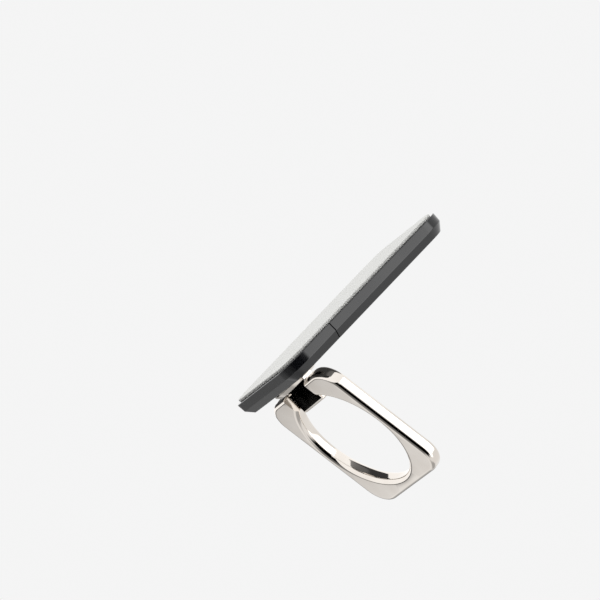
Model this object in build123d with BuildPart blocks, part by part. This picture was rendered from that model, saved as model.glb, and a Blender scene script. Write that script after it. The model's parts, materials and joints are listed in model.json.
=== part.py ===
import math
import os
from build123d import *

os.makedirs("parts", exist_ok=True)

# Phone ring holder, millimetres. The adhesive face lies in z = 0 and looks down; z is out of the plate.
# Y runs along the plate: the ring pivots near the -Y end and folds down towards +Y. X is the width.

# Plate: a rounded rectangle with a flat bevel round its top, on an adhesive pad.
PLATE_W = 36.0
PLATE_L = 43.0
PLATE_R = 5.0
PAD_T = 0.6
PAD_INSET = 0.8
SIDE_H = 1.8
BEVEL_H = 1.5
BEVEL_PLAN = 1.4
SKIRT = 1.4
BASE_T = 1.0
BASE_FIT = 0.05
SEAM_GAP = 0.16

# Swivel: a disc with a lug, turning on a post through the end cover.
DISC_R = 5.0
DISC_T = 1.0
DISC_LIFT = 0.04
DISC_EDGE = 0.7
DISC_TO_BEVEL = 0.1
DISC_TO_SEAM = 0.5
POST_D = 4.9
POST_PLAY = 0.05
TAIL_D = 3.0
TAIL_DOWN = 0.1
TAIL_CLEAR = 0.1
LUG_W = 9.0
LUG_T = 2.4
LUG_RISE = 3.55
LUG_ROUND = 0.45

# Washers inside the end cover: a dished spring washer over a flat washer riveted on the tail.
WASHER_D = 9.4
WASHER_T = 0.5
RECESS_PLAY = 0.5
SPRING_RIM = 0.35
SPRING_T = 0.18
SPRING_DISH = 0.08
SPRING_PLAY = 0.02

# Hinge pin: a straight pin pressed into the lug, with the ring turning on it.
PIN_D = 0.8
PIN_PLAY = 0.03
PIN_WALL = 0.25
PIN_GRIP = 4.0
PIN_SUNK = 0.9
PIN_DRILL = 0.3

# Ring: a rounded square casting with a round finger hole and a notch for the lug.
# Its middle lies a little ahead of the pin.
HOLE_D = 23.0
HOLE_ROUND = 1.0
ARM = 1.85
TIP = 2.55
RING_T = 2.8
RING_R = 4.4
RING_ROUND = 0.7
PIN_TO_RIM = 1.1
HEEL_OVER = 0.05
HEEL_PLAY = 0.2
RING_AHEAD = 0.35
NOTCH_PLAY = 0.3
EAR_R = 0.6

# How the ring stands: turned a little on the swivel and leaning a little towards +Y.
REST_TURN = -7.5
REST_LEAN = 8.0

# Heights, from the adhesive face upwards.
base_top = PAD_T + BASE_T
side_top = PAD_T + SIDE_H
plate_top = side_top + BEVEL_H
washer_low = base_top + TAIL_CLEAR + TAIL_DOWN
washer_top = washer_low + WASHER_T
recess_top = washer_top + SPRING_PLAY + SPRING_T + SPRING_DISH
disc_low = plate_top + DISC_LIFT
disc_top = disc_low + DISC_T
heel = RING_T / 2 + HEEL_OVER
pin_z = disc_top + HEEL_PLAY + heel
lug_top = pin_z + LUG_RISE

# The swivel sits just inside the bevel of the -Y end, and the seam runs just past it.
swivel_y = -PLATE_L / 2 + BEVEL_PLAN + DISC_TO_BEVEL + DISC_R
seam_y = swivel_y + DISC_R + DISC_TO_SEAM

# The ring's own directions at rest: across its width, out of its front face and along its length.
turn = math.radians(REST_TURN)
lean = math.radians(REST_LEAN)
up = Vector(0, 0, 1)
across = Vector(math.cos(turn), math.sin(turn), 0)
forward = Vector(math.sin(turn), -math.cos(turn), 0)
ring_front = forward * math.cos(lean) + up * math.sin(lean)
swivel_axis = Vector(0, swivel_y, 0)
pin_forward = LUG_T / 2 - PIN_WALL - PIN_D / 2
pin_centre = swivel_axis + forward * pin_forward + up * pin_z

swivel_plane = Plane(origin=swivel_axis, x_dir=across, z_dir=up)
pin_plane = Plane(origin=pin_centre, x_dir=forward, z_dir=across)
ring_plane = Plane(origin=pin_centre + ring_front * RING_AHEAD, x_dir=across, z_dir=ring_front)

# Adhesive pad under the plate: it holds the plate down and can be changed.
with BuildPart() as adhesive_pad:
    with BuildSketch():
        RectangleRounded(PLATE_W - 2 * PAD_INSET, PLATE_L - 2 * PAD_INSET, PLATE_R - PAD_INSET)
    extrude(amount=PAD_T)
adhesive_pad.part.label = "adhesive_pad"

# Base plate: a flat insert that both covers sit on, held inside their skirts.
with BuildPart() as base_plate:
    with BuildSketch(Plane.XY.offset(PAD_T)):
        inset = SKIRT + BASE_FIT
        RectangleRounded(PLATE_W - 2 * inset, PLATE_L - 2 * inset, PLATE_R - inset)
    extrude(amount=BASE_T)
base_plate.part.label = "base_plate"


def cover_between(low_y, high_y):
    # The bevelled plate, pocketed below for the base plate, between two cuts across its length.
    with BuildPart() as cover:
        with BuildSketch(Plane.XY.offset(PAD_T)):
            RectangleRounded(PLATE_W, PLATE_L, PLATE_R)
        extrude(amount=SIDE_H)
        with BuildSketch(Plane.XY.offset(side_top)):
            RectangleRounded(PLATE_W, PLATE_L, PLATE_R)
        extrude(amount=BEVEL_H, taper=math.degrees(math.atan(BEVEL_PLAN / BEVEL_H)))
        with BuildSketch(Plane.XY.offset(PAD_T)):
            RectangleRounded(PLATE_W - 2 * SKIRT, PLATE_L - 2 * SKIRT, PLATE_R - SKIRT)
        extrude(amount=BASE_T, mode=Mode.SUBTRACT)
        with BuildSketch():
            with Locations((0, (low_y + high_y) / 2)):
                Rectangle(PLATE_W, high_y - low_y)
        extrude(amount=plate_top, mode=Mode.INTERSECT)
    return cover.part


# Main cover: the long plain part of the plate, up to the seam.
with BuildPart() as main_cover:
    add(cover_between(seam_y + SEAM_GAP / 2, PLATE_L / 2))
main_cover.part.label = "main_cover"

# End cover: the short part that carries the swivel, with a bore and a recess below for the washers.
with BuildPart() as end_cover:
    add(cover_between(-PLATE_L / 2, seam_y - SEAM_GAP / 2))
    with BuildSketch(swivel_plane.offset(base_top)):
        Circle(WASHER_D / 2 + RECESS_PLAY)
    extrude(amount=recess_top - base_top, mode=Mode.SUBTRACT)
    with BuildSketch(swivel_plane.offset(recess_top)):
        Circle(POST_D / 2 + POST_PLAY)
    extrude(amount=plate_top - recess_top, mode=Mode.SUBTRACT)
end_cover.part.label = "end_cover"

# Swivel: disc, post and lug cast in one piece, with a tail for the washer and a cross hole for the pin.
with BuildPart() as swivel_base:
    with BuildSketch(swivel_plane.offset(disc_low)):
        Circle(DISC_R)
    extrude(amount=DISC_T)
    chamfer(swivel_base.faces().sort_by(Axis.Z)[-1].edges(), DISC_EDGE)
    with BuildSketch(swivel_plane.offset(washer_top)):
        Circle(POST_D / 2)
    extrude(amount=disc_top - washer_top)
    with BuildSketch(swivel_plane.offset(washer_low - TAIL_DOWN)):
        Circle(TAIL_D / 2)
    extrude(amount=disc_top - washer_low)
    with BuildSketch(swivel_plane.offset(disc_low)):
        Rectangle(LUG_W, LUG_T)
    extrude(amount=lug_top - disc_low)
    fillet(swivel_base.faces().sort_by(Axis.Z)[-1].edges(), LUG_ROUND)
    with BuildSketch(pin_plane):
        Circle(PIN_D / 2)
    extrude(amount=LUG_W, both=True, mode=Mode.SUBTRACT)
swivel_base.part.label = "swivel_base"

# Spring washer: dished, its inner rim against the cover's web and its outer rim over the flat washer.
with BuildPart() as spring_washer:
    with BuildSketch(Plane(origin=swivel_axis, x_dir=across, z_dir=forward)):
        inner = POST_D / 2 + POST_PLAY
        outer = WASHER_D / 2 - SPRING_RIM
        low = recess_top - SPRING_T
        with BuildLine():
            Polyline(
                (inner, recess_top),
                (outer, recess_top - SPRING_DISH),
                (outer, low - SPRING_DISH),
                (inner, low),
                close=True,
            )
        make_face()
    revolve(axis=Axis(swivel_axis, up))
spring_washer.part.label = "spring_washer"

# Retaining washer: riveted on the tail inside the plate, so that the swivel can turn but not lift.
with BuildPart() as retaining_washer:
    with BuildSketch(swivel_plane.offset(washer_low)):
        Circle(WASHER_D / 2)
        Circle(TAIL_D / 2, mode=Mode.SUBTRACT)
    extrude(amount=WASHER_T)
retaining_washer.part.label = "retaining_washer"

# Ring sizes that follow from the finger hole, the lug and the pin.
ring_w = HOLE_D + 2 * ARM
pin_to_hole = HOLE_D / 2 + PIN_TO_RIM
ring_tip = pin_to_hole + HOLE_D / 2 + TIP
notch_half = LUG_W / 2 + NOTCH_PLAY
heel_reach = math.sqrt(RING_R**2 - (RING_R - heel) ** 2)
pin_near = -notch_half - PIN_GRIP
pin_far = ring_w / 2 - RING_R + heel_reach - PIN_SUNK

# Hinge pin: put in from the +X side of the ring, through one ear and the lug into the other ear.
with BuildPart() as hinge_pin:
    with BuildSketch(pin_plane.offset(pin_near)):
        Circle(PIN_D / 2)
    extrude(amount=pin_far - pin_near)
hinge_pin.part.label = "hinge_pin"

# Ring: outline with softened rims, finger hole, then the notch with its rounded ears and the pin bore.
with BuildPart() as ring:
    with BuildSketch(ring_plane):
        with Locations((0, (ring_tip - heel) / 2)):
            RectangleRounded(ring_w, ring_tip + heel, RING_R)
    extrude(amount=RING_T / 2, both=True)
    fillet(ring.faces().filter_by(ring_plane).edges(), RING_ROUND)
    with BuildSketch(ring_plane):
        with Locations((0, pin_to_hole)):
            Circle(HOLE_D / 2)
    extrude(amount=RING_T, both=True, mode=Mode.SUBTRACT)
    hole_rims = ring.edges().filter_by(GeomType.CIRCLE).group_by(SortBy.RADIUS)[-1]
    fillet(hole_rims, HOLE_ROUND)
    ear_x = notch_half + EAR_R
    ear_bend = EAR_R * (1 - math.sqrt(0.5))
    with BuildSketch(ring_plane):
        with BuildLine():
            Line((0, pin_to_hole), (notch_half, pin_to_hole))
            Line((notch_half, pin_to_hole), (notch_half, EAR_R - heel))
            ThreePointArc(
                (notch_half, EAR_R - heel),
                (notch_half + ear_bend, ear_bend - heel),
                (ear_x, -heel),
            )
            Line((ear_x, -heel), (ear_x, -2 * heel))
            Line((ear_x, -2 * heel), (0, -2 * heel))
            mirror(about=Plane.YZ)
        make_face()
    extrude(amount=RING_T, both=True, mode=Mode.SUBTRACT)
    with BuildSketch(pin_plane.offset(pin_near - PIN_DRILL)):
        Circle(PIN_D / 2 + PIN_PLAY)
    extrude(amount=ring_w, mode=Mode.SUBTRACT)
ring.part.label = "ring"

export_step(adhesive_pad.part, "parts/adhesive_pad.step")
export_step(base_plate.part, "parts/base_plate.step")
export_step(main_cover.part, "parts/main_cover.step")
export_step(end_cover.part, "parts/end_cover.step")
export_step(swivel_base.part, "parts/swivel_base.step")
export_step(spring_washer.part, "parts/spring_washer.step")
export_step(retaining_washer.part, "parts/retaining_washer.step")
export_step(hinge_pin.part, "parts/hinge_pin.step")
export_step(ring.part, "parts/ring.step")
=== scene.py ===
import json
import math

import bmesh
import bpy
from mathutils import Matrix, Vector


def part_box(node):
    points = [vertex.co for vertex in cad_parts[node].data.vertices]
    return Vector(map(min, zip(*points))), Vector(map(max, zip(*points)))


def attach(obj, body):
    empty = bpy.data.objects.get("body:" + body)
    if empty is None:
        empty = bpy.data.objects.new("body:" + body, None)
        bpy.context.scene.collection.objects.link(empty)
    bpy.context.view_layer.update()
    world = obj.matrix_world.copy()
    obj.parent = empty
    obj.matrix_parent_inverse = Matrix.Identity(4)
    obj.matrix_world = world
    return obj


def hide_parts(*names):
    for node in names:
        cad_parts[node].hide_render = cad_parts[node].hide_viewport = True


# Phone ring holder, dressed in the frame of its solids. Sizes are in millimetres, and meshes are made in
# metres: the adhesive face lies in z = 0, the plate runs along Y and the ring stands near its -Y end.
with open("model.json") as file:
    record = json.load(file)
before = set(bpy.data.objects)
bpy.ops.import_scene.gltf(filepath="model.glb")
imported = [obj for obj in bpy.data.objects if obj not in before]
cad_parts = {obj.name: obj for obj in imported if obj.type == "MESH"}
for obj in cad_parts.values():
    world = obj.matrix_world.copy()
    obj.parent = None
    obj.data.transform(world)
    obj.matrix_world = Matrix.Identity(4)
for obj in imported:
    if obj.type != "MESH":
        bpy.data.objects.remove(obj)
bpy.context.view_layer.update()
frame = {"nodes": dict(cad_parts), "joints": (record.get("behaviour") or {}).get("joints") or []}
MM = 0.001

# Adhesive pad: the soft clear sheet under the plate that holds it down and can be washed and used again.
# It is die-cut from cast polyurethane gel, so its edge bulges a little, and it is pale, even and dull.
PLATE_CORNER = 5.0
PAD_INSET = 0.8
PAD_BULGE = 0.18
PAD_LAND = 2.0
CORNER_STEPS = 24
ROUND_STEPS = 5
WELD = 0.0001
SHARP_ANGLE = 40.0
MOTTLE_SPAN = (0.3, 0.7)
GEL_SHADES = ("#dbdbd8", "#e4e4e1")
GEL_MOTTLE = 3.0
GEL_ROUGH = (0.42, 0.58)
GEL_RELIEF = ((1.5, 0.001),)
GEL_IOR = 1.49


def linear(code):
    """An sRGB hex value as a linear colour with alpha."""
    parts = [int(code[i:i + 2], 16) / 255 for i in (1, 3, 5)]
    return [p / 12.92 if p <= 0.04045 else ((p + 0.055) / 1.055) ** 2.4 for p in parts] + [1.0]


def add(tree, kind, inputs=None, **settings):
    """A node with its settings; each input is a value or the socket that feeds it."""
    node = tree.nodes.new(kind)
    for name, value in settings.items():
        setattr(node, name, value)
    for name, value in (inputs or {}).items():
        if isinstance(value, bpy.types.NodeSocket):
            tree.links.new(value, node.inputs[name])
        else:
            node.inputs[name].default_value = value
    return node


def finish_of(name, shades, patch, rough, relief, even, stretch=(1.0, 1.0, 1.0)):
    """A material mottled in colour and roughness in patches of a size, over layers of relief.

    Sizes are in millimetres. Each layer of relief is (grain, depth), and even holds the shader's values
    that are the same all over."""
    made = bpy.data.materials.new(name)
    made.use_nodes = True
    tree = made.node_tree
    shader = tree.nodes["Principled BSDF"]
    for label, value in even.items():
        shader.inputs[label].default_value = value
    place = add(tree, "ShaderNodeTexCoord").outputs["Object"]
    place = add(tree, "ShaderNodeMapping", {"Vector": place, "Scale": stretch}).outputs["Vector"]
    mottle = add(tree, "ShaderNodeTexNoise", {"Vector": place, "Scale": 1 / (patch * MM)}).outputs["Fac"]
    colour = add(tree, "ShaderNodeValToRGB", {"Fac": mottle})
    for stop, position, code in zip(colour.color_ramp.elements, MOTTLE_SPAN, shades):
        stop.position = position
        stop.color = linear(code)
    tree.links.new(colour.outputs["Color"], shader.inputs["Base Color"])
    shine = add(tree, "ShaderNodeMapRange", {
        "Value": mottle, "From Min": MOTTLE_SPAN[0], "From Max": MOTTLE_SPAN[1],
        "To Min": rough[0], "To Max": rough[1]})
    tree.links.new(shine.outputs["Result"], shader.inputs["Roughness"])
    normal = shader.inputs["Normal"]
    for grain, depth in relief:
        height = add(tree, "ShaderNodeTexNoise", {"Vector": place, "Scale": 1 / (grain * MM)})
        bump = add(tree, "ShaderNodeBump", {"Height": height.outputs["Fac"], "Distance": depth * MM})
        tree.links.new(bump.outputs["Normal"], normal)
        normal = bump.inputs["Normal"]
    return made


def linked(name, data):
    """An object of that data, placed in the scene."""
    made = bpy.data.objects.new(name, data)
    bpy.context.scene.collection.objects.link(made)
    return made


def rounded(corners, radii, steps=ROUND_STEPS):
    """The points of a closed outline whose corners are rounded; a radius of 0 stays sharp."""
    points = []
    for i, (corner, radius) in enumerate(zip(corners, radii)):
        here = Vector(corner)
        if radius == 0:
            points.append(here)
            continue
        back = (Vector(corners[i - 1]) - here).normalized()
        ahead = (Vector(corners[(i + 1) % len(corners)]) - here).normalized()
        half = back.angle(ahead) / 2
        centre = here + (back + ahead).normalized() * (radius / math.sin(half))
        start = here + back * (radius / math.tan(half)) - centre
        turn = start.angle_signed(here + ahead * (radius / math.tan(half)) - centre)
        for k in range(steps + 1):
            points.append(centre + Matrix.Rotation(-turn * k / steps, 2) @ start)
    return points


# The plate's pieces follow one rule: a cross-section carried round a rounded rectangle.
rim_tree = bpy.data.node_groups.new("section_round_plate", "GeometryNodeTree")
for label, kind in (
    ("Width", "NodeSocketFloat"), ("Length", "NodeSocketFloat"), ("Corner", "NodeSocketFloat"),
    ("Corner steps", "NodeSocketInt"), ("Section", "NodeSocketObject"), ("Finish", "NodeSocketMaterial"),
):
    rim_tree.interface.new_socket(label, in_out="INPUT", socket_type=kind)
rim_tree.interface.new_socket("Skin", in_out="OUTPUT", socket_type="NodeSocketGeometry")
sizes = add(rim_tree, "NodeGroupInput").outputs
outline = add(rim_tree, "GeometryNodeCurvePrimitiveQuadrilateral", {
    "Width": sizes["Width"], "Height": sizes["Length"]}, mode="RECTANGLE")
outline = add(rim_tree, "GeometryNodeFilletCurve", {
    "Curve": outline.outputs["Curve"], "Radius": sizes["Corner"],
    "Count": sizes["Corner steps"]}, mode="POLY")
outline = add(rim_tree, "GeometryNodeSetCurveNormal", {"Curve": outline.outputs["Curve"]}, mode="Z_UP")
section = add(rim_tree, "GeometryNodeObjectInfo", {"Object": sizes["Section"]})
skin = add(rim_tree, "GeometryNodeCurveToMesh", {
    "Curve": outline.outputs["Curve"], "Profile Curve": section.outputs["Geometry"]})
skin = add(rim_tree, "GeometryNodeRealizeInstances", {"Geometry": skin.outputs["Mesh"]})
skin = add(rim_tree, "GeometryNodeSetMaterial", {
    "Geometry": skin.outputs["Geometry"], "Material": sizes["Finish"]})
add(rim_tree, "NodeGroupOutput", {"Skin": skin.outputs["Geometry"]})


def plate_mesh(section_points, width, length, corner, finish):
    """The closed mesh of a section of (inset, height) points, carried round the plate and filled in."""
    curve = bpy.data.curves.new("section", "CURVE")
    curve.dimensions = "3D"
    line = curve.splines.new("POLY")
    line.points.add(len(section_points) - 1)
    for point, (inset, height) in zip(line.points, section_points):
        point.co = (-inset * MM, -height * MM, 0, 1)
    section_line = linked("section", curve)
    maker = linked("plate_maker", bpy.data.meshes.new("plate_maker"))
    rule = maker.modifiers.new("rule", "NODES")
    rule.node_group = rim_tree
    values = (width * MM, length * MM, corner * MM, CORNER_STEPS, section_line, finish)
    sockets = [s for s in rim_tree.interface.items_tree if s.in_out == "INPUT"]
    for socket, value in zip(sockets, values):
        rule[socket.identifier] = value
    seen = maker.evaluated_get(bpy.context.evaluated_depsgraph_get())
    mesh = bpy.data.meshes.new_from_object(seen)
    bpy.data.objects.remove(maker)
    bpy.data.objects.remove(section_line)
    shape = bmesh.new()
    shape.from_mesh(mesh)
    bmesh.ops.remove_doubles(shape, verts=shape.verts, dist=WELD * MM)
    bmesh.ops.holes_fill(shape, edges=[e for e in shape.edges if e.is_boundary], sides=0)
    bmesh.ops.recalc_face_normals(shape, faces=shape.faces)
    bpy.data.meshes.remove(mesh)
    return shape


def piece_of(name, shape, finish, body, slot, *nodes):
    """A finished piece: smooth but for its sharp edges, riding on its body in place of its solids."""
    mesh = bpy.data.meshes.new(name)
    shape.to_mesh(mesh)
    shape.free()
    mesh.shade_smooth()
    mesh.set_sharp_from_angle(angle=math.radians(SHARP_ANGLE))
    mesh.materials.clear()
    mesh.materials.append(finish)
    piece = linked(name, mesh)
    flats = piece.modifiers.new("flats", "WEIGHTED_NORMAL")
    flats.keep_sharp = True
    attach(piece, body)
    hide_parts(*nodes)


gel = finish_of("cast polyurethane gel", GEL_SHADES, GEL_MOTTLE, GEL_ROUGH, GEL_RELIEF, {"IOR": GEL_IOR})
pad_low, pad_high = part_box("adhesive_pad")
pad_size = (pad_high - pad_low) / MM
pad_section = rounded(
    [(PAD_LAND, 0.0), (0.0, 0.0), (0.0, pad_size.z), (PAD_LAND, pad_size.z)], [0, PAD_BULGE, PAD_BULGE, 0])
pad_shape = plate_mesh(pad_section, pad_size.x, pad_size.y, PLATE_CORNER - PAD_INSET, gel)
piece_of("gel_pad", pad_shape, gel, "holder", "adhesive_pad", "adhesive_pad")

# Base plate: the flat insert inside both covers that the pad is stuck to, and that shuts the swivel in.
# It is moulded in a filled plastic from a spark-eroded tool, which leaves it matt and finely pitted.
BASE_SHADES = ("#1c1d1f", "#26272a")
BASE_PATCH = 5.0
BASE_ROUGH = (0.55, 0.7)
BASE_RELIEF = ((0.15, 0.01),)
BASE_IOR = 1.5
base_plastic = finish_of(
    "spark-textured filled plastic", BASE_SHADES, BASE_PATCH, BASE_ROUGH, BASE_RELIEF, {"IOR": BASE_IOR})
frame["nodes"]["base_plate"].data.materials[0] = base_plastic

# Covers: the glossy dark shell of the plate, in a long part and a short one that meet at a fine seam.
# Both are moulded in ABS from a mirror-polished tool, so the skin is black glass with a faint ripple. The
# sides lean in by the mould's draft, and the edges between side, bevel and top are a little softened.
SIDE_HEIGHT = 1.8
BEVEL_INSET = 1.4
SKIRT = 1.4
POCKET = 1.0
DRAFT = 4.0
EDGE_ROUND = 0.25
FOOT_ROUND = 0.12
SEAM_ROUND = 0.05
SEAM_STEPS = 2
ARC_PROFILE = 0.5
RECESS_PLAY = 0.5
POST_RADIUS = 2.45
POST_PLAY = 0.05
CUT_OVER = 0.2
TURN_STEPS = 96
ABS_SHADES = ("#0c0d0f", "#111215")
ABS_HAZE = 7.0
ABS_ROUGH = (0.07, 0.13)
ABS_RELIEF = ((2.4, 0.0012),)
ABS_IOR = 1.54
abs_gloss = finish_of("mirror-moulded ABS", ABS_SHADES, ABS_HAZE, ABS_ROUGH, ABS_RELIEF, {"IOR": ABS_IOR})
main_low, main_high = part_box("main_cover")
end_low, end_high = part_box("end_cover")
plate_width = (main_high.x - main_low.x) / MM
plate_length = (main_high.y - end_low.y) / MM
plate_foot = main_low.z / MM
plate_top = main_high.z / MM
shoulder = plate_foot + SIDE_HEIGHT
lean_in = SIDE_HEIGHT * math.tan(math.radians(DRAFT))
cover_section = rounded(
    [(SKIRT, plate_foot + POCKET), (SKIRT, plate_foot), (0.0, plate_foot), (lean_in, shoulder),
     (BEVEL_INSET, plate_top), (2 * BEVEL_INSET, plate_top)],
    [0, 0, FOOT_ROUND, EDGE_ROUND, EDGE_ROUND, 0])


def round_edges(shape, edges, radius, steps):
    """Rounds edges of a shape to an arc of that radius."""
    bmesh.ops.bevel(
        shape, geom=edges, offset=radius * MM, segments=steps, profile=ARC_PROFILE, affect="EDGES")


def cover_part(cut_y, keep):
    """One part of the shell, cut across at that y and kept on the side that keep points to."""
    shape = plate_mesh(cover_section, plate_width, plate_length, PLATE_CORNER, abs_gloss)
    everything = shape.verts[:] + shape.edges[:] + shape.faces[:]
    cut = bmesh.ops.bisect_plane(
        shape, geom=everything, plane_co=(0, cut_y, 0), plane_no=(0, -keep, 0), clear_outer=True)
    rim = [e for e in cut["geom_cut"] if isinstance(e, bmesh.types.BMEdge)]
    filled = bmesh.ops.contextual_create(shape, geom=rim)
    lips = [e for f in filled["faces"] for e in f.edges if min(v.co.z for v in e.verts) > plate_foot * MM]
    round_edges(shape, lips, SEAM_ROUND, SEAM_STEPS)
    bmesh.ops.recalc_face_normals(shape, faces=shape.faces)
    return shape


def turned(profile, centre):
    """A solid turned about the upright axis at centre; its (radius, height) points start on the axis."""
    shape = bmesh.new()
    line = [shape.verts.new((centre.x + r * MM, centre.y, h * MM)) for r, h in profile]
    edges = [shape.edges.new(pair) for pair in zip(line, line[1:])]
    bmesh.ops.spin(shape, geom=line + edges, cent=centre, axis=(0, 0, 1), angle=2 * math.pi,
                   steps=TURN_STEPS, use_merge=True)
    bmesh.ops.remove_doubles(shape, verts=shape.verts, dist=WELD * MM)
    bmesh.ops.recalc_face_normals(shape, faces=shape.faces)
    return shape


def combined(shape, tool, operation):
    """A shape with another one added to it or cut from it."""
    held = []
    for name, one in (("kept", shape), ("tool", tool)):
        mesh = bpy.data.meshes.new(name)
        one.to_mesh(mesh)
        one.free()
        held.append(linked(name, mesh))
    change = held[0].modifiers.new("change", "BOOLEAN")
    change.operation = operation
    change.object = held[1]
    change.solver = "EXACT"
    seen = held[0].evaluated_get(bpy.context.evaluated_depsgraph_get())
    result = bmesh.new()
    result.from_mesh(bpy.data.meshes.new_from_object(seen))
    for one in held:
        bpy.data.objects.remove(one)
    return result


joints = {j["name"]: j for j in frame["joints"]}
swivel_at = Vector(joints["swivel_turn"]["pos_m"])
axle = Vector((swivel_at.x, swivel_at.y, 0))
washer_low, washer_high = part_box("retaining_washer")
recess_radius = (washer_high.x - washer_low.x) / 2 / MM + RECESS_PLAY
recess_low = plate_foot + POCKET - CUT_OVER
recess_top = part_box("spring_washer")[1].z / MM
bore_radius = POST_RADIUS + POST_PLAY
bore = turned([
    (0, recess_low), (recess_radius, recess_low), (recess_radius, recess_top), (bore_radius, recess_top),
    (bore_radius, plate_top + CUT_OVER), (0, plate_top + CUT_OVER)], axle)
end_shape = combined(cover_part(end_high.y, -1), bore, "DIFFERENCE")
piece_of("long_cover", cover_part(main_low.y, 1), abs_gloss, "holder", "cover_plastic", "main_cover")
piece_of("short_cover", end_shape, abs_gloss, "holder", "cover_plastic", "end_cover")

# Washers: the dished spring washer and the flat washer riveted on the swivel's tail, shut in the plate.
# Both are stamped from cold-rolled strip, so they are grey steel with fine rolling lines along X.
STEEL_SHADES = ("#8a8b8d", "#a3a4a6")
ROLL_LINE = 0.2
ROLL_STRETCH = (0.05, 1.0, 1.0)
STEEL_ROUGH = (0.28, 0.4)
STEEL_RELIEF = ((0.2, 0.002),)
strip_steel = finish_of("cold-rolled spring steel", STEEL_SHADES, ROLL_LINE, STEEL_ROUGH, STEEL_RELIEF,
                        {"Metallic": 1.0}, ROLL_STRETCH)
for name in ("spring_washer", "retaining_washer"):
    frame["nodes"][name].data.materials[0] = strip_steel

# Swivel: a disc with a post below and a flat upright lug above, which carries the hinge pin.
# It is die-cast in zinc, tumbled, polished and nickel-plated, so it is a warm mirror with soft corners.
DISC_RADIUS = 5.0
DISC_THICK = 1.0
DISC_LIFT = 0.04
DISC_EDGE = 0.7
DISC_SOFT = 0.1
TAIL_RADIUS = 1.5
LUG_WIDTH = 9.0
LUG_DEPTH = 2.4
LUG_ROUND = 0.45
LUG_CORNER = 0.2
LUG_ROOT = 0.3
CROWN_STEPS = 6
PIN_RADIUS = 0.4
PIN_STEPS = 32
NICKEL_SHADES = ("#d8d1c9", "#e2dcd5")
NICKEL_CLOUD = 5.0
NICKEL_ROUGH = (0.03, 0.07)
NICKEL_RELIEF = ((0.3, 0.00008), (4.0, 0.0015))
nickel = finish_of(
    "polished nickel plate", NICKEL_SHADES, NICKEL_CLOUD, NICKEL_ROUGH, NICKEL_RELIEF, {"Metallic": 1.0})


def rectangle(half_x, half_y):
    """The corners of a rectangle about the origin."""
    return [(-half_x, -half_y), (half_x, -half_y), (half_x, half_y), (-half_x, half_y)]


def prism(outline_points, depth, placed):
    """A straight block of that outline and depth, centred on the plane that placed gives."""
    shape = bmesh.new()
    face = shape.faces.new([shape.verts.new((x * MM, y * MM, -depth / 2 * MM)) for x, y in outline_points])
    raised = bmesh.ops.extrude_face_region(shape, geom=[face])
    top = [v for v in raised["geom"] if isinstance(v, bmesh.types.BMVert)]
    bmesh.ops.translate(shape, verts=top, vec=(0, 0, depth * MM))
    bmesh.ops.recalc_face_normals(shape, faces=shape.faces)
    shape.transform(placed)
    return shape


def axes(x, y, z, origin):
    """The matrix that carries x, y and z onto these directions at an origin."""
    made = Matrix((x, y, z)).transposed().to_4x4()
    made.translation = origin
    return made


def pin_hole(radius, start, end):
    """A cutter for the pin's hole, from one distance along the hinge to another."""
    turns = [2 * math.pi * k / PIN_STEPS for k in range(PIN_STEPS)]
    circle = [(radius * math.cos(t), radius * math.sin(t)) for t in turns]
    middle = pin_at + across * ((start + end) / 2 * MM)
    return prism(circle, end - start, axes(forward, up, across, middle))


pin_at = Vector(joints["ring_tilt"]["pos_m"])
across = Vector(joints["ring_tilt"]["axis"])
forward = Vector((across.y, -across.x, 0))
up = Vector((0, 0, 1))
swivel_low, swivel_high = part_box("swivel_base")
disc_low = plate_top + DISC_LIFT
disc_top = disc_low + DISC_THICK
tail_foot = swivel_low.z / MM
post_foot = washer_high.z / MM
lug_top = swivel_high.z / MM
post_profile = [
    (0, tail_foot), (TAIL_RADIUS, tail_foot), (TAIL_RADIUS, post_foot), (POST_RADIUS, post_foot)]
disc_profile = rounded(
    [(POST_RADIUS, disc_low), (DISC_RADIUS, disc_low), (DISC_RADIUS, disc_top - DISC_EDGE),
     (DISC_RADIUS - DISC_EDGE, disc_top), (0, disc_top)], [0, 0, DISC_SOFT, DISC_SOFT, 0])
disc = turned(post_profile + disc_profile, axle)
lug_plan = rectangle(LUG_WIDTH / 2, LUG_DEPTH / 2)
lug_low = disc_top - LUG_ROOT
lug_middle = axle + up * ((lug_low + lug_top) / 2 * MM)
lug = prism(lug_plan, lug_top - lug_low, axes(across, -forward, up, lug_middle))
crown = [e for e in lug.edges if min(v.co.z for v in e.verts) > lug_middle.z]
round_edges(lug, crown, LUG_ROUND, CROWN_STEPS)
upright = [e for e in lug.edges if
           min(v.co.z for v in e.verts) < lug_middle.z < max(v.co.z for v in e.verts)]
round_edges(lug, upright, LUG_CORNER, ROUND_STEPS)
swivel_shape = combined(disc, lug, "UNION")
swivel_shape = combined(swivel_shape, pin_hole(PIN_RADIUS, -LUG_WIDTH, LUG_WIDTH), "DIFFERENCE")
piece_of("swivel", swivel_shape, nickel, "swivel", "polished_nickel", "swivel_base")

# Hinge pin: the straight pin through the ring's ears and the lug, pressed tight in the lug.
# It is cut from ground steel wire, so fine lines run round it under a plain grey shine.
PIN_SHADES = ("#97989a", "#b4b5b7")
GRIND_LINE = 0.12
GRIND_STRETCH = (1.0, 0.05, 0.05)
PIN_ROUGH = (0.2, 0.34)
PIN_RELIEF = ((0.12, 0.0015),)
pin_steel = finish_of(
    "ground steel wire", PIN_SHADES, GRIND_LINE, PIN_ROUGH, PIN_RELIEF, {"Metallic": 1.0}, GRIND_STRETCH)
frame["nodes"]["hinge_pin"].data.materials[0] = pin_steel

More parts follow.
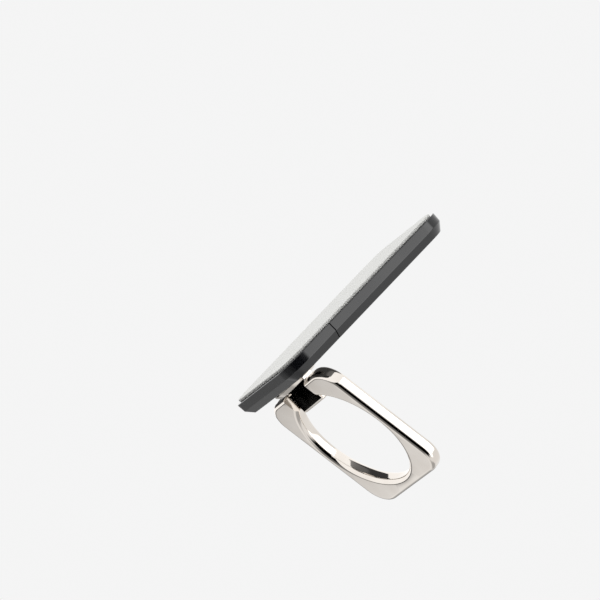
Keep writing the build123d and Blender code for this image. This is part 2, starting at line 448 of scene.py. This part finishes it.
# Ring: a rounded square with a round finger hole, notched at its hinge end for the lug.
# It is cast, polished and plated as the swivel is, and every rim that a finger meets is well rounded. The
# notch's walls flare to the front, so the ears catch the light as pale edges beside the lug.
HOLE_RADIUS = 11.5
HOLE_ROUND = 0.95
ARM = 1.85
TIP = 2.55
RING_DEPTH = 2.8
RING_CORNER = 4.4
RING_ROUND = 0.85
RING_AHEAD = 0.35
HEEL = 1.45
PIN_TO_RIM = 1.1
NOTCH_HALF = 4.8
NOTCH_DRAFT = 10.0
NOTCH_EASE = 0.1
EAR_ROUND = 0.6
EAR_SWEEP = 70.0
EAR_STEPS = 8
PIN_PLAY = 0.03
PIN_REACH = 4.3
RING_STEPS = 288
RIM_STEPS = 8
NEVER_ZERO = 1e-9
lean = math.radians(90 + joints["ring_tilt"]["range_deg"][0])
ring_front = forward * math.cos(lean) + up * math.sin(lean)
ring_place = axes(across, ring_front.cross(across), ring_front, pin_at + ring_front * (RING_AHEAD * MM))
hole_y = HOLE_RADIUS + PIN_TO_RIM
side_x = HOLE_RADIUS + ARM
tip_y = hole_y + HOLE_RADIUS + TIP


def outline_reach(way):
    """How far the ring's outline lies from the middle of the finger hole, that way."""
    end_y = tip_y - hole_y if way.y > 0 else hole_y + HEEL
    reach = min(side_x / max(abs(way.x), NEVER_ZERO), end_y / max(abs(way.y), NEVER_ZERO))
    corner = Vector((side_x - RING_CORNER, end_y - RING_CORNER))
    out = Vector((abs(way.x), abs(way.y)))
    if min(out * reach - corner) > 0:
        along = out.dot(corner)
        reach = along + math.sqrt(along**2 - corner.length_squared + RING_CORNER**2)
    return reach


ring_shape = bmesh.new()
rings = [[], [], [], []]
for k in range(RING_STEPS):
    turn = 2 * math.pi * k / RING_STEPS
    way = Vector((math.cos(turn), math.sin(turn)))
    outer = outline_reach(way)
    for ring, reach, side in zip(rings, (outer, HOLE_RADIUS, HOLE_RADIUS, outer), (1, 1, -1, -1)):
        point = (way.x * reach * MM, (hole_y + way.y * reach) * MM, side * RING_DEPTH / 2 * MM)
        ring.append(ring_shape.verts.new(point))
for here, beyond in zip(rings, rings[1:] + rings[:1]):
    for k in range(RING_STEPS):
        ring_shape.faces.new((here[k - 1], here[k], beyond[k], beyond[k - 1]))
bmesh.ops.recalc_face_normals(ring_shape, faces=ring_shape.faces)
for loop, radius in zip(rings, (RING_ROUND, HOLE_ROUND, HOLE_ROUND, RING_ROUND)):
    rims = [ring_shape.edges.get((loop[k - 1], loop[k])) for k in range(RING_STEPS)]
    round_edges(ring_shape, rims, radius, RIM_STEPS)
ring_shape.transform(ring_place)
sweeps = [math.radians(EAR_SWEEP) * k / EAR_STEPS for k in range(EAR_STEPS + 1)]
ear = [(NOTCH_HALF + EAR_ROUND * (1 - math.cos(a)), EAR_ROUND * (1 - math.sin(a)) - HEEL) for a in sweeps]
ear.append((ear[-1][0] + math.sin(sweeps[-1]) * HEEL, ear[-1][1] - math.cos(sweeps[-1]) * HEEL))
half_notch = [(NOTCH_HALF, hole_y)] + ear
notch = prism(half_notch + [(-x, y) for x, y in reversed(half_notch)], 2 * RING_DEPTH, Matrix.Identity(4))
for vert in notch.verts:
    flare = NOTCH_EASE * MM + math.tan(math.radians(NOTCH_DRAFT)) * vert.co.z
    vert.co.x += flare if vert.co.x > 0 else -flare
notch.transform(ring_place)
ring_shape = combined(ring_shape, notch, "DIFFERENCE")
ring_bore = pin_hole(PIN_RADIUS + PIN_PLAY, -NOTCH_HALF - PIN_REACH, 2 * side_x)
ring_shape = combined(ring_shape, ring_bore, "DIFFERENCE")
piece_of("finger_ring", ring_shape, nickel, "ring", "polished_nickel", "ring")

# Floor and light: a pale floor, open under the pad and seen through from below, in a white room. Polished
# metal mirrors the floor as an even white, and the named cards, bright, dim or black, that stand round it.
FLOOR_SPREAD = 300.0
FLOOR_DROP = 0.01
FLOOR_GAP = 0.2
FLOOR_PALE = "#fbfbfb"
FLOOR_MIRRORED = 1.25
BACKDROP = 0.91
ROOM_LEVEL = 0.94
PLAIN_LEVEL = 1.0
LEVEL_ONLY = (1.0, 1.0, 0.0)
CARDS = {
    # towards, half width and its soft edge, top and its soft edge, all in degrees, and the level of light
    "dim ceiling over the disc": (60.0, 40.0, 20.0, 80.0, 8.0, 0.5),
    "white wall below the ceiling": (60.0, 75.0, 14.0, 38.0, 8.0, 1.0),
    "softbox at the -X side": (-122.0, 22.0, 6.0, 64.0, 6.0, 3.0),
    "dim band along the floor": (35.0, 52.0, 14.0, 10.0, 4.0, 0.38),
    "dim card at the +X side": (92.0, 18.0, 10.0, 32.0, 10.0, 0.3),
    "dim card at the -Y end": (2.0, 18.0, 14.0, 28.0, 8.0, 0.25),
    "black flag by the camera": (-59.0, 42.0, 16.0, 52.0, 10.0, 0.0),
    "black strip for the lug's face": (54.0, 12.0, 4.0, 4.8, 1.1, 0.0),
    "bright strip for the notch's far wall": (-98.0, 18.0, 5.0, 8.0, 1.5, 1.4),
}
opening_plan = rectangle(pad_size.x / 2 + FLOOR_GAP, pad_size.y / 2 + FLOOR_GAP)
opening = rounded(opening_plan, [PLATE_CORNER - PAD_INSET + FLOOR_GAP] * len(opening_plan))
floor_points = [(x * s * MM, y * s * MM, -FLOOR_DROP * MM) for s in (FLOOR_SPREAD, 1) for x, y in opening]

floor_mesh = bpy.data.meshes.new("floor")
count = len(opening)
floor_mesh.from_pydata(floor_points, [], [
    (k, (k + 1) % count, (k + 1) % count + count, k + count) for k in range(count)])
floor = linked("floor", floor_mesh)
pale = bpy.data.materials.new("pale floor")
pale.use_nodes = True
tree = pale.node_tree
shader = tree.nodes["Principled BSDF"]
shader.inputs["Base Color"].default_value = linear(FLOOR_PALE)
shader.inputs["Roughness"].default_value = 1.0
shader.inputs["Specular IOR Level"].default_value = 0.0
ray = add(tree, "ShaderNodeLightPath").outputs
mirrored = add(tree, "ShaderNodeMath", {
    0: ray["Is Glossy Ray"], 1: ray["Is Transmission Ray"]}, operation="MAXIMUM").outputs["Value"]
glow = add(tree, "ShaderNodeEmission", {"Strength": FLOOR_MIRRORED}).outputs["Emission"]
shown = add(tree, "ShaderNodeMixShader", {0: mirrored, 1: shader.outputs["BSDF"], 2: glow})
under = add(tree, "ShaderNodeNewGeometry").outputs["Backfacing"]
clear = add(tree, "ShaderNodeMath", {0: ray["Is Camera Ray"], 1: under}, operation="MULTIPLY")
through = add(tree, "ShaderNodeBsdfTransparent").outputs["BSDF"]
shown = add(tree, "ShaderNodeMixShader", {
    0: clear.outputs["Value"], 1: shown.outputs["Shader"], 2: through})
tree.links.new(shown.outputs["Shader"], tree.nodes["Material Output"].inputs["Surface"])
floor_mesh.materials.append(pale)

world = bpy.data.worlds.new("studio")
bpy.context.scene.world = world
world.use_nodes = True
tree = world.node_tree
way = add(tree, "ShaderNodeTexCoord").outputs["Generated"]
height = add(tree, "ShaderNodeSeparateXYZ", {"Vector": way}).outputs["Z"]
flat = add(tree, "ShaderNodeVectorMath", {0: way, 1: LEVEL_ONLY}, operation="MULTIPLY").outputs["Vector"]
flat = add(tree, "ShaderNodeVectorMath", {0: flat}, operation="NORMALIZE").outputs["Vector"]
level = PLAIN_LEVEL
for label, (towards, half, side_edge, top, top_edge, light) in CARDS.items():
    centre = (math.sin(math.radians(towards)), -math.cos(math.radians(towards)), 0.0)
    beside = add(tree, "ShaderNodeVectorMath", {0: flat, 1: centre}, operation="DOT_PRODUCT")
    beside = add(tree, "ShaderNodeMapRange", {
        "Value": beside.outputs["Value"], "From Min": math.cos(math.radians(half + side_edge)),
        "From Max": math.cos(math.radians(half - side_edge))}, interpolation_type="SMOOTHSTEP")
    below = add(tree, "ShaderNodeMapRange", {
        "Value": height, "From Min": math.sin(math.radians(top + top_edge)),
        "From Max": math.sin(math.radians(top - top_edge))}, interpolation_type="SMOOTHSTEP")
    card = add(tree, "ShaderNodeMath", {
        0: beside.outputs["Result"], 1: below.outputs["Result"]}, operation="MULTIPLY", label=label)
    level = add(tree, "ShaderNodeMapRange", {
        "Value": card.outputs["Value"], "To Min": level, "To Max": light}).outputs["Result"]
sunk = add(tree, "ShaderNodeMath", {0: height, 1: 0.0}, operation="LESS_THAN").outputs["Value"]
level = add(tree, "ShaderNodeMapRange", {
    "Value": sunk, "To Min": level, "To Max": PLAIN_LEVEL}).outputs["Result"]
ray = add(tree, "ShaderNodeLightPath").outputs
mirrored = add(tree, "ShaderNodeMath", {
    0: ray["Is Glossy Ray"], 1: ray["Is Transmission Ray"]}, operation="MAXIMUM").outputs["Value"]
lit = add(tree, "ShaderNodeMapRange", {
    "Value": mirrored, "To Min": ROOM_LEVEL, "To Max": PLAIN_LEVEL}).outputs["Result"]
lit = add(tree, "ShaderNodeMath", {0: lit, 1: level}, operation="MULTIPLY").outputs["Value"]
strength = add(tree, "ShaderNodeMapRange", {
    "Value": ray["Is Camera Ray"], "To Min": lit, "To Max": BACKDROP}).outputs["Result"]
tree.links.new(strength, tree.nodes["Background"].inputs["Strength"])
tree.nodes["Background"].inputs["Color"].default_value = (1.0, 1.0, 1.0, 1.0)

# Camera: at the photograph's angle, low beside the plate, rolled so that the plate runs up to the right.
# Its place was worked out from straight edges of known lengths in the picture, through a long lens.
CAMERA_AZIMUTH = -69.13
CAMERA_ELEVATION = -2.44
CAMERA_ROLL = 134.78
CAMERA_AWAY = 956.5
CAMERA_ANGLE = 6.495
CAMERA_AIM = (-7.245, -6.187, -5.520)
azimuth = math.radians(CAMERA_AZIMUTH)
elevation = math.radians(CAMERA_ELEVATION)
roll = math.radians(CAMERA_ROLL)
outwards = Vector((math.sin(azimuth), -math.cos(azimuth), 0))
back = outwards * math.cos(elevation) + up * math.sin(elevation)
level_right = Vector((math.cos(azimuth), math.sin(azimuth), 0))
right = level_right * math.cos(roll) + back.cross(level_right) * math.sin(roll)
camera_data = bpy.data.cameras.new("camera")
camera_data.angle = math.radians(CAMERA_ANGLE)
camera = linked("camera", camera_data)
camera.matrix_world = axes(right, back.cross(right), back, (Vector(CAMERA_AIM) + back * CAMERA_AWAY) * MM)
bpy.context.scene.camera = camera
bpy.context.scene.view_settings.view_transform = "Standard"
